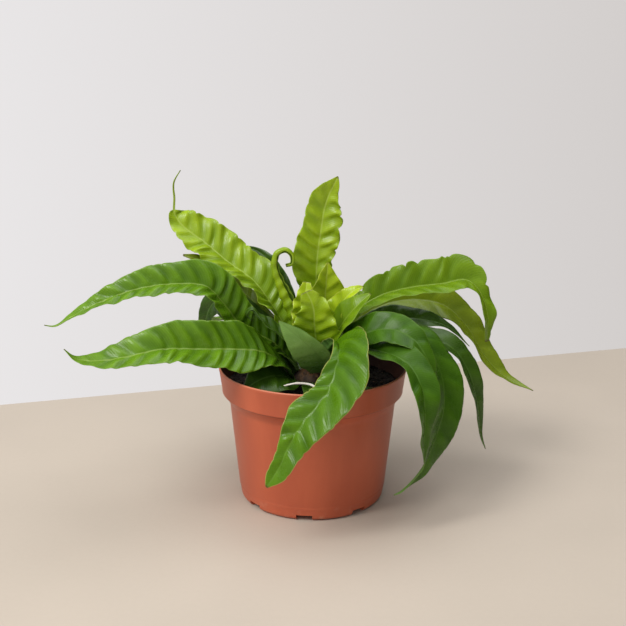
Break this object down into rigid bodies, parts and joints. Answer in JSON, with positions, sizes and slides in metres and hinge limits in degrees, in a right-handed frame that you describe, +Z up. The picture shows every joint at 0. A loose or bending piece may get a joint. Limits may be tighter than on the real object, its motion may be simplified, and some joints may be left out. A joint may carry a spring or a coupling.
{
  "type": "potted fern",
  "caption": "Potted fern with long wavy undivided strap fronds springing from a short crown, in a tapered terracotta-coloured plastic nursery pot with a banded rim.",
  "frame": {"origin": "centre of the pot's flat underside, on the surface the pot stands on", "axes": "+Z up; +X along the plant's widest spread; -Y towards the side where the broad front frond hangs over the rim"},
  "size_m": [0.3125, 0.2162, 0.2071],
  "materials": {
    "terracotta_plastic": "moulded polypropylene, satin, terracotta coloured",
    "potting_mix": "damp dark peat-based potting mix, crumbly",
    "rhizome_scales": "brown scaly fern crown",
    "leaf_mature": "leathery living leaf, semi-gloss",
    "leaf_young": "young yellow-green leaf, semi-gloss",
    "leaf_shaded": "older dark green leaf, semi-gloss",
    "leaf_ageing": "ageing olive leaf with brown edges",
    "live_root": "pale live root",
    "bark_mulch": "weathered bark fragment"
  },
  "bodies": {
    "root": {"nursery_pot": "terracotta_plastic", "potting_soil": "potting_mix", "rhizome": "rhizome_scales", "frond_long_left": "leaf_mature", "frond_low_left": "leaf_mature", "frond_thread_tip": "leaf_young", "frond_behind_thread_tip": "leaf_shaded", "frond_withered": "leaf_ageing", "frond_hanging_left": "leaf_shaded", "frond_curled_left": "leaf_shaded", "frond_upright": "leaf_young", "frond_young_middle": "leaf_young", "frond_young_folded": "leaf_young", "frond_young_curled": "leaf_young", "frond_young_front": "leaf_mature", "frond_olive_folded": "leaf_ageing", "frond_upper_right": "leaf_young", "frond_olive_right": "leaf_ageing", "frond_dark_right": "leaf_shaded", "frond_hanging_front_right": "leaf_shaded", "frond_narrow_right": "leaf_mature", "frond_big_hanging_right": "leaf_mature", "frond_hooked_right": "leaf_shaded", "frond_front": "leaf_mature", "frond_glossy_front": "leaf_shaded", "frond_in_pot_left": "leaf_shaded", "frond_in_pot_front": "leaf_shaded", "frond_in_pot_right": "leaf_shaded", "frond_back_right": "leaf_mature", "frond_back_mid_right": "leaf_mature", "frond_back_mid_left": "leaf_mature", "frond_back_left": "leaf_mature", "frond_back_short": "leaf_mature", "fiddlehead": "leaf_young", "root_loop": "live_root", "root_short": "live_root", "bark_chip_large": "bark_mulch", "bark_chip_small": "bark_mulch", "leaf_litter_flake": "bark_mulch"}
  },
  "joints": []
}
